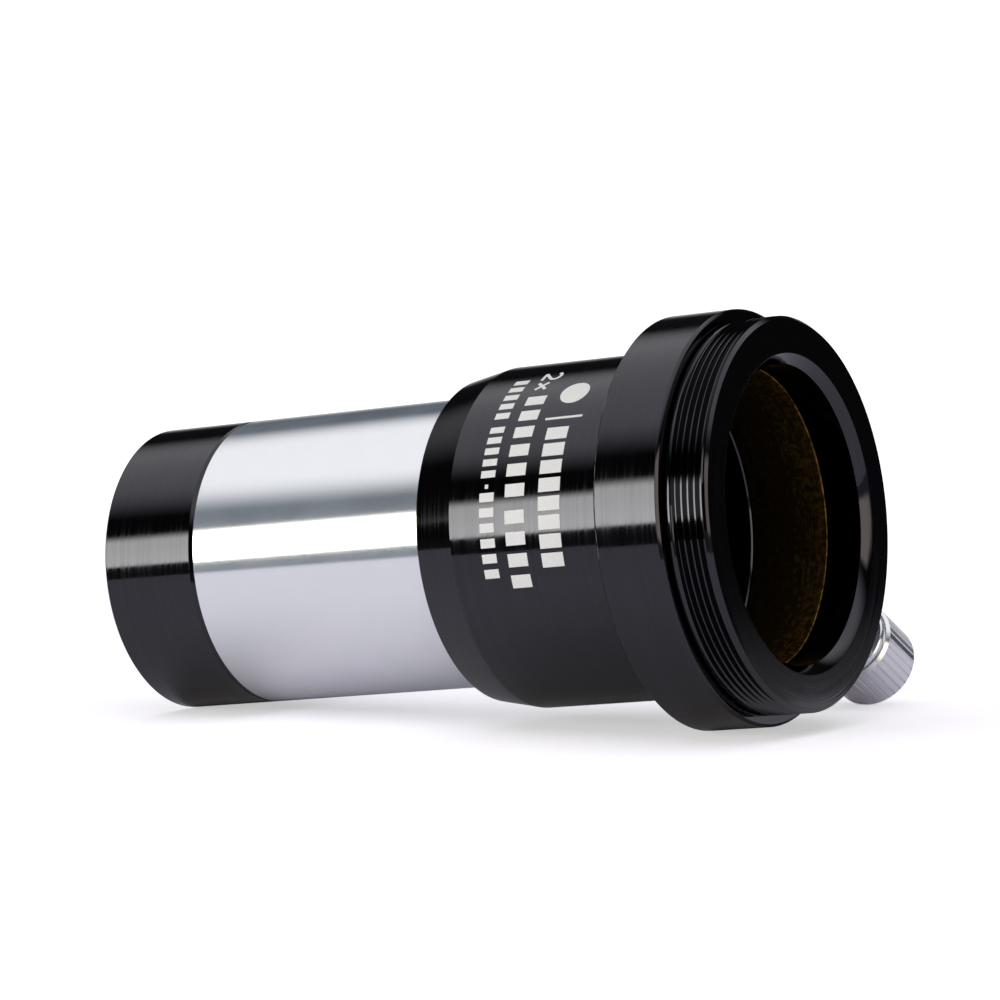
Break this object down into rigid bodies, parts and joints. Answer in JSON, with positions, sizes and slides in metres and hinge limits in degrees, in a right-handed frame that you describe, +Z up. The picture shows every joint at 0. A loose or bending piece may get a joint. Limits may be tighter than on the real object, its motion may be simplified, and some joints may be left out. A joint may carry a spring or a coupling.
{
  "type": "barlow lens",
  "caption": "Slim chrome nosepiece with a black lens cell, a wider black eyepiece holder with a threaded collar, a brass clamp band and a knurled thumbscrew.",
  "frame": {"origin": "on the optical axis, in the plane of the shoulder where the nosepiece meets the eyepiece holder", "axes": "+X along the optical axis towards the eyepiece; +Z up with the part lying on its side; the thumbscrew is on the +Y side, 30 degrees below the horizontal"},
  "size_m": [0.079, 0.0565, 0.0447],
  "materials": {
    "black_anodised": "satin black anodised, finely turned",
    "chrome_tube": "satin chrome plate",
    "screw_chrome": "satin chrome plate, straight knurled",
    "brass": "rolled brass strip, dulled",
    "coated_glass": "polished, green anti-reflection coating"
  },
  "bodies": {
    "holder": {"eyepiece_holder": "black_anodised", "nosepiece_tube": "chrome_tube"},
    "clamp_band": {"compression_ring": "brass"},
    "screw_shank": {"thumbscrew_stud": "screw_chrome"},
    "screw_head": {"thumbscrew_head": "screw_chrome"},
    "lenses": {"front_lens_element": "coated_glass", "rear_lens_element": "coated_glass"},
    "cell": {"lens_cell": "black_anodised", "lens_retaining_ring": "black_anodised"}
  },
  "joints": [
    {"name": "thumbscrew_travel", "type": "slide", "parent": "holder", "child": "screw_shank", "axis": [0, 0.866, -0.5], "range_m": [-0.0014, 0.0021]},
    {"name": "thumbscrew_turn", "type": "hinge", "parent": "screw_shank", "child": "screw_head", "pos_m": [0.02805, 0.02858, -0.0165], "axis": [0, 0.866, -0.5], "range_deg": [-720, 1080]},
    {"name": "cell_travel", "type": "slide", "parent": "holder", "child": "lenses", "axis": [-1, 0, 0], "range_m": [0, 0.0042]},
    {"name": "cell_unscrew", "type": "hinge", "parent": "lenses", "child": "cell", "pos_m": [-0.036, 0, 0], "axis": [-1, 0, 0], "range_deg": [0, 2520]},
    {"name": "clamp_squeeze", "type": "slide", "parent": "holder", "child": "clamp_band", "axis": [0, -0.866, 0.5], "range_m": [0, 0.0002], "stiffness_N_per_m": 2000}
  ],
  "couplings": [
    {"joint": "thumbscrew_turn", "follows": "thumbscrew_travel", "rad_per_m": 8976},
    {"joint": "cell_unscrew", "follows": "cell_travel", "rad_per_m": 10472}
  ]
}
